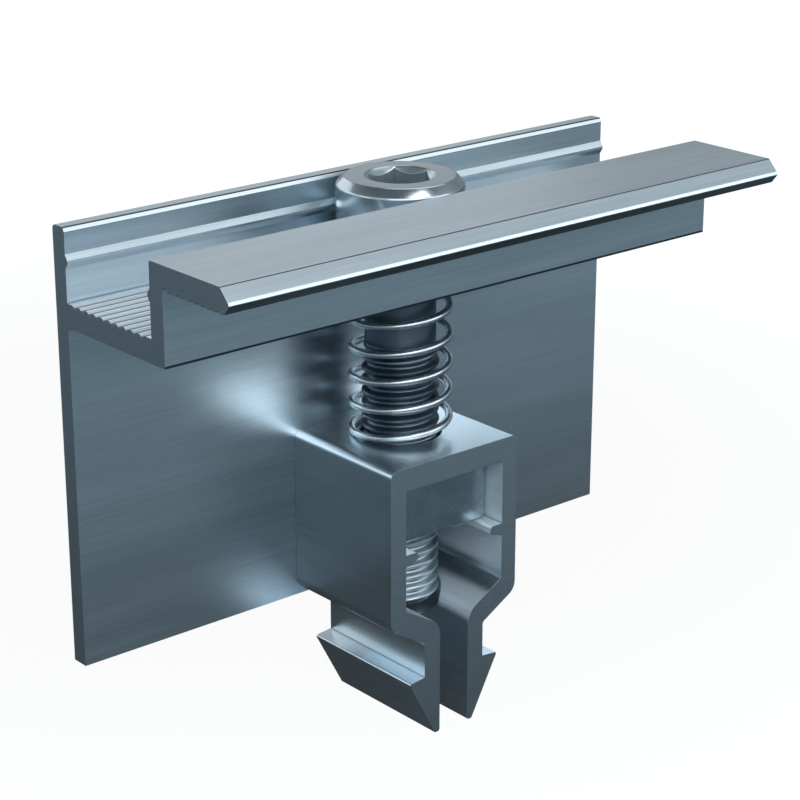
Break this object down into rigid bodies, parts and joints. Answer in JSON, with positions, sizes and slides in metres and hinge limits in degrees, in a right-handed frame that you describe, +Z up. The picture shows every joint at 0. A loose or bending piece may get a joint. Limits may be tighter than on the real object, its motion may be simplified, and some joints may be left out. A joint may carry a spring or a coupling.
{
  "type": "solar end clamp",
  "caption": "Aluminium end clamp that grips the outer edge of a solar module, with a socket screw, a spring and a square nut in a click-in foot for a slotted mounting rail.",
  "frame": {"origin": "on the screw's axis, level with the lower edge of the clamp's plate at rest, which is where the top of the mounting rail lies", "axes": "+X along the clamp profile and the module's edge, -Y towards the module, +Z up along the screw, away from the rail"},
  "size_m": [0.07, 0.0277, 0.0579],
  "materials": {
    "clamp_aluminium": "mill finish, fine lines along the extrusion",
    "foot_aluminium": "mill finish, fine lines along the extrusion",
    "screw_steel": "turned and rolled stainless steel, polished",
    "nut_steel": "bright stainless steel",
    "spring_steel": "polished spring wire"
  },
  "bodies": {
    "foot": {"click_foot": "foot_aluminium", "square_nut": "nut_steel", "compression_spring": "spring_steel"},
    "clamp": {"clamp_profile": "clamp_aluminium"},
    "screw": {"socket_screw": "screw_steel"}
  },
  "joints": [
    {"name": "clamp_lift", "type": "slide", "parent": "foot", "child": "clamp", "axis": [0, 0, 1], "range_m": [0, 0.008], "deforming": ["compression_spring"]},
    {"name": "screw_turn", "type": "hinge", "parent": "clamp", "child": "screw", "pos_m": [0, 0, 0.03765], "axis": [0, 0, 1], "range_deg": [0, 2305]}
  ],
  "couplings": [
    {"joint": "screw_turn", "follows": "clamp_lift", "rad_per_m": 5026.5}
  ]
}
